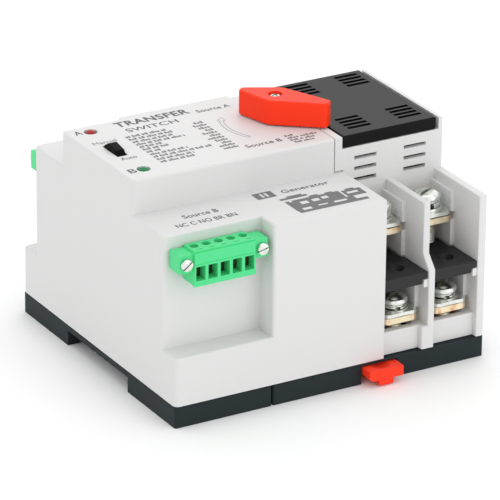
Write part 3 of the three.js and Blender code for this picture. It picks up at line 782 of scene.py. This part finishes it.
def clamp_plate(node, x, y, level):
    """Zinc plated clamp plate, bowed a little so that its ends press on the wire."""
    half, bow, cuts = 5.5, 0.28, 12
    low = level["bar"] + BAR_THICK + CLAMP_GAP
    bm = upright(rectangle(near(x, half), near(y, 5.0)), (low, low + CLAMP_THICK))
    soften(bm, 2.3, vertical, 6)
    bm = combined(bm, [hole(2.75, (low - 1, low + 2), x, y)])
    for i in range(1, cuts):
        at_x = x - half + 2 * half * i / cuts
        geometry = bm.verts[:] + bm.edges[:] + bm.faces[:]
        bmesh.ops.bisect_plane(bm, geom=geometry, plane_co=(at_x, 0, 0), plane_no=(1, 0, 0))
    for v in bm.verts:
        v.co.z += bow * (1 - ((v.co.x - x) / half) ** 2) - 0.02
    soften(bm, 0.14, None, 2, 50)
    return piece(node, bm)


def rounded_corner(x, y, inward, radius, z):
    """A cutter that rounds one upright corner at (x, y); inward points into the metal."""
    centre = (x + inward[0] * radius, y + inward[1] * radius)
    block = box(*(tuple(sorted((c, c - i * (radius + 1)))) for c, i in zip(centre, inward)), z)
    return combined(block, [hole(radius, (z[0] - 1, z[1] + 1), *centre, 64)])


def bar_end(node, x, ends, z):
    """A terminal bar with its outer corners rounded and its edges broken."""
    cutters = [rounded_corner(x + side * 5.85, y, (-side, 1 if y < AXIS[1] else -1), 2.4, z)
               for side in (-1, 1) for y in ends]
    bm = combined(cad(node), cutters)
    return piece(node, soften(bm, 0.18, lambda e: e.calc_length() > 0.1, 2, 50))


def barrier(node):
    return piece(node, soften(cad(node), 0.22, lambda e: e.calc_length() > 1.2, 2, 50))


def terminals():
    for pole, x in POLES.items():
        bar_end(f"load_bar_{pole}", x, (2.3, DEPTH - 2.3), (14, 18))
        for side, at in SIDES.items():
            bar_end(f"source_bar_{side}_{pole}", x, (at(11.4),), (37, 41))
            barrier(f"barrier_{side}_{pole}")
            for name, level in LEVELS.items():
                clamp_plate(f"clamp_{name}_{side}_{pole}", x, at(level["depth"]), level)
                terminal_screw(f"screw_{name}_{side}_{pole}", x, at(level["depth"]), level)


# ---------------------------------------------------------------- plugs
SLOT_TURN = {"left": -38, "right": -14}


def plug_body(at):
    """The moulding: a body with a flange and two ears, and for each way a wire entry and a screw hole."""
    body = upright(rectangle(near(PLUG_CENTRE, 9.6), between(at, 0.6, 7.1)), (41, 51.3))
    soften(body, 0.35, None, 2)
    flange = upright(rectangle(near(PLUG_CENTRE, 13.9), between(at, 1.4, 7.1)), (45, 50.6))
    soften(flange, 0.35, None, 2)
    inner = upright(rectangle(near(PLUG_CENTRE, 9.3), between(at, 7, 15.5)), (42.9, 50.1))
    lip = upright(rectangle(near(PLUG_CENTRE, 9.75), between(at, 0.5, 1.3)), (40.85, 41.9))
    soften(lip, 0.15, None, 2)
    cutters = []
    for x in WAY_XS:
        cutters.append(box(near(x, 1.45), between(at, 0, 5.5), (42.5, 46.7)))
        cutters.append(hole(1.3, (48.2, 52), x, at(4.6), 32))
        cutters.append(box(near(x + 0.3, 0.85), between(at, 1.75, 2.1), (50.9, 52)))
    cutters.append(box(near(PLUG_CENTRE, 9.8), between(at, 0, 0.72), (47.3, 47.55)))
    cutters.append(box(near(PLUG_CENTRE, 9.8), between(at, 0, 1.0), (50.75, 52)))
    cutters += [hole_along_y(1.35, (at(0), at(8)), x, EAR_HEIGHT, 32) for x in EAR_XS.values()]
    return combined(combined(body, [flange, inner, lip], "UNION"), cutters)


def plug_metal(at):
    """A wire clamp and the slotted end of its screw for each way; they get near-black metal as painted
    shade in the openings.
    """
    shapes = []
    for x in WAY_XS:
        disc = hole(1.15, (48.0, 49.4), x, at(4.6), 24)
        slot = box(near(x, 1.4), between(at, 4.45, 4.75), (49.1, 50))
        shapes += [box(near(x, 1.4), between(at, 3.6, 5.4), (42.6, 46.6)), combined(disc, [slot])]
    return merged(*shapes)


def plug_screw(side, at, end):
    """The slotted screw through one ear of a plug."""
    x, face, out = EAR_XS[end], at(1.25), -1 if side == "front" else 1
    profile = [(0, 0), (1.7, 0), (1.75, 0.1), (1.75, 0.8), (1.66, 1.0), (1.45, 1.12), (0, 1.15)]
    head = lathe(bmesh.new(), profile, (x, face, EAR_HEIGHT), 48, "y", out)
    slot = box((-2.2, 2.2), (-0.6, 1.6), (-0.22, 0.22))
    turn = Matrix.Rotation(math.radians(SLOT_TURN[end]), 4, "Y")
    slot.transform(Matrix.Translation((x, face + out * 1.3, EAR_HEIGHT)) @ turn)
    shank = hole_along_y(1.0, (at(1.2), at(12.5)), x, EAR_HEIGHT, 24)
    return piece(f"plug_screw_{side}_{end}", merged(combined(head, [slot]), shank), weighted=False)


def plug(side, at):
    piece(f"plug_{side}", plug_body(at))
    # The clamps and screw ends take near-black metal: painted shade for the deep openings.
    extra(plug_metal(at), f"plug_metal_{side}", PLUG_CLAMP_SHADE, f"plug_{side}", "zinc_plate")
    for end in EAR_XS:
        plug_screw(side, at, end)


# ---------------------------------------------------------------- controls
def lamp(node, y):
    """A domed 3 mm lamp that stands a little proud of the panel."""
    r, dome = LAMP_RADIUS, LAMP_TOP - LAMP_RADIUS
    profile = [(0, 57), (2.05, 57), (2.05, 58.2), (r, 58.2), (r, dome)]
    profile += [(r * math.cos(a), dome + r * math.sin(a)) for a in arc(9, 10)]
    return piece(node, lathe(bmesh.new(), profile, (LAMP_X, y, 0), 40))


def handle():
    """The lever: a flat arrow with a stepped screw hole, hollow underneath."""
    tip, tail, wide = 10.8, 16.3, 5.9
    outline = [(tip, 1.2), (0, wide), (-tail, 1.8), (-tail, -1.8), (0, -wide), (tip, -1.2)]
    bm = upright(outline, (HANDLE_BOTTOM, HANDLE_TOP))
    soften(bm, 0.9, lambda e: vertical(e) and abs(e.verts[0].co.x) > 5, 5)
    soften(bm, 1.6, lambda e: vertical(e) and abs(e.verts[0].co.x) < 1, 5, 10)
    soften(bm, 0.55, lambda e: on(e, z=HANDLE_TOP), 4)
    soften(bm, 0.2, lambda e: on(e, z=HANDLE_BOTTOM), 2)
    bm.transform(Matrix.Translation((*AXIS, 0)) @ Matrix.Rotation(math.radians(HANDLE_ANGLE), 4, "Z"))
    head = hole(2.1, (HANDLE_SEAT, HANDLE_TOP + 1), *AXIS)
    shank = hole(1.3, (HANDLE_BOTTOM - 1, HANDLE_TOP), *AXIS)
    hollow = hole(3.2, (HANDLE_BOTTOM - 1, 68.4), *AXIS)
    return piece("handle", combined(bm, [head, shank, hollow]))


def handle_screw():
    seat, radius = HANDLE_SEAT + 0.1, 1.85
    profile = [(0, 61), (1.0, 61)] + threaded(1.2, 61.4, seat - 0.1, 0.5, 0.2)
    profile += [(1.15, seat), (radius, seat), (radius, seat + 0.7)]
    profile += [(radius * math.cos(a), seat + 0.7 + 0.9 * math.sin(a)) for a in arc(6, 15)]
    screw = lathe(bmesh.new(), profile, (*AXIS, 0), 40)
    cross = [turned_box(AXIS, 2.4, 0.55, (seat + 0.8, seat + 3), angle) for angle in (10, 100)]
    return piece("handle_screw", combined(screw, cross), weighted=False)


def rocker():
    return piece("mode_rocker", soften(cad("mode_rocker"), 0.3, None, 3, 12))


def rounded_block(x, z, radii, depth):
    """A block with rounded edges along y; radii run from the lower left corner, anticlockwise."""
    outline = []
    corners = ((x[0], z[0], 1, 1), (x[1], z[0], -1, 1), (x[1], z[1], -1, -1), (x[0], z[1], 1, -1))
    for i, ((cx, cz, sx, sz), r) in enumerate(zip(corners, radii)):
        for a in arc(7, 15, 12 + 6 * i):
            outline.append((cx + sx * r + r * math.cos(a), cz + sz * r + r * math.sin(a)))
    bm = upright(outline, depth)
    bm.transform(Matrix(((1, 0, 0, 0), (0, 0, 1, 0), (0, 1, 0, 0), (0, 0, 0, 1))))
    bmesh.ops.recalc_face_normals(bm, faces=bm.faces)
    return bm


def latch():
    """The rail latch: a head to pull with a scooped underside, a nib, and a tongue that grips."""
    left, right, front = LATCH
    tip = (DEPTH - RAIL_SLOT) / 2 + 1.95
    head = rounded_block((left, right), (2.1, 5.2), (1.5, 0.5, 0.4, 0.4), (front, 5))
    soften(head, 0.3, lambda e: on(e, y=front), 3)
    face = front + 0.02
    nib = rounded_block((left + 3.15, right - 3.2), (0.4, 3), (0.7, 0.25, 0.2, 0.2), (face, front + 2))
    soften(nib, 0.2, lambda e: on(e, y=face), 2)
    tongue = rounded_block((61, 69.5), (1.2, 3.2), (0.2, 0.2, 0.2, 0.2), (4, tip))
    bm = combined(head, [nib, tongue], "UNION")
    radius = 5.2
    ball = [(radius * math.sin(a), radius - radius * math.cos(a)) for a in arc(29, 6)]
    scoop = lathe(bmesh.new(), [(0, 0)] + ball + [(0, 2 * radius)], (65.3, -0.2, 4.25), 72)
    pocket = box((63.6, 66.9), (10, 22), (0, 4))
    return piece("din_latch", combined(bm, [pocket, scoop]))


def latch_spring():
    """The coil spring, drawn along its real turns."""
    low, high = SPRING
    x, z, radius, wire = 65.25, 2.3, 0.86, 0.19
    turns, steps, sides = 9, 24, 8
    rings = []
    for i in range(turns * steps + 1):
        a = 2 * math.pi * i / steps
        y = low + wire + (high - low - 2 * wire) * i / (turns * steps)
        out = Vector((math.cos(a), 0, math.sin(a)))
        middle = Vector((x, y, z)) + radius * out
        rings.append([middle + (out * math.cos(b) + Vector((0, 1, 0)) * math.sin(b)) * wire
                      for b in arc(sides, 360 / sides, 0)])
    bm = swept(rings)
    bmesh.ops.recalc_face_normals(bm, faces=bm.faces)
    spring = piece("latch_spring", bm, weighted=False)
    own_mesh(spring)
    return spring


# ---------------------------------------------------------------- floor, light and camera
def pale_floor():
    """A wide matt surface just under the lowest point of the part."""
    bm = bmesh.new()
    bmesh.ops.create_grid(bm, x_segments=1, y_segments=1, size=3.0)
    mesh = bpy.data.meshes.new("floor")
    bm.to_mesh(mesh)
    bm.free()
    mesh.materials.append(plastic("floor_pale", (0.975, 0.975, 0.975), 0.8, 0.1, 20.0, 0.004, 0.0))
    floor = link(bpy.data.objects.new("floor", mesh))
    floor.location = (0, 0, -ORIGIN.z / 1000 - 0.00005)
    return floor


def white_world():
    world = bpy.data.worlds.new("studio")
    world.use_nodes = True
    background = world.node_tree.nodes["Background"].inputs
    background["Color"].default_value = (1, 1, 1, 1)
    background["Strength"].default_value = 1.0
    bpy.context.scene.world = world


def aimed(start, target):
    """The turn that points a light or the camera from start to target."""
    return (Vector(target) - Vector(start)).to_track_quat("-Z", "Y")


def softbox(name, start, width, height, power):
    """A rectangular light that points at the middle of the part."""
    light = bpy.data.lights.new(name, "AREA")
    light.shape = "RECTANGLE"
    light.size, light.size_y = width, height
    light.energy = power
    obj = link(bpy.data.objects.new(name, light))
    obj.location = start
    obj.rotation_euler = aimed(start, (0, 0, 0.03)).to_euler()


def camera(eye, target, lens, roll):
    """A camera at eye; lens is for a sensor 36 mm wide, roll is in degrees."""
    optics = bpy.data.cameras.new("camera")
    optics.lens = lens
    optics.sensor_width = 36
    optics.clip_start, optics.clip_end = 0.05, 20
    viewer = link(bpy.data.objects.new("camera", optics))
    viewer.location = eye
    level = aimed(eye, target).to_matrix()
    viewer.rotation_euler = (level @ Matrix.Rotation(math.radians(roll), 3, "Z")).to_euler()
    bpy.context.scene.camera = viewer
    bpy.context.scene.view_settings.view_transform = "Standard"


printing()
main_housing()
switch_housing()
base("controller_base", [0, BASE_SEAM - 0.15])
base("switch_base", [BASE_SEAM + 0.15, WIDTH])
vent_cover()
latch()
latch_spring()
handle()
handle_screw()
rocker()
lamp("lamp_a", LAMP_YS[1])
lamp("lamp_b", LAMP_YS[0])
terminals()
for side, at in SIDES.items():
    plug(side, at)

pale_floor()
white_world()
softbox("overhead", (0.1, 0.25, 0.9), 0.9, 0.9, 0.9)
softbox("front_right", (0.5, -1.1, 0.5), 0.7, 0.7, 1.8)
softbox("behind", (0.62, 1.1, 0.58), 1.0, 0.6, 1.5)
camera((-0.59118, -1.01503, 0.53158), (-0.00091, -0.00040, 0.02177), 323.9, 0.578)
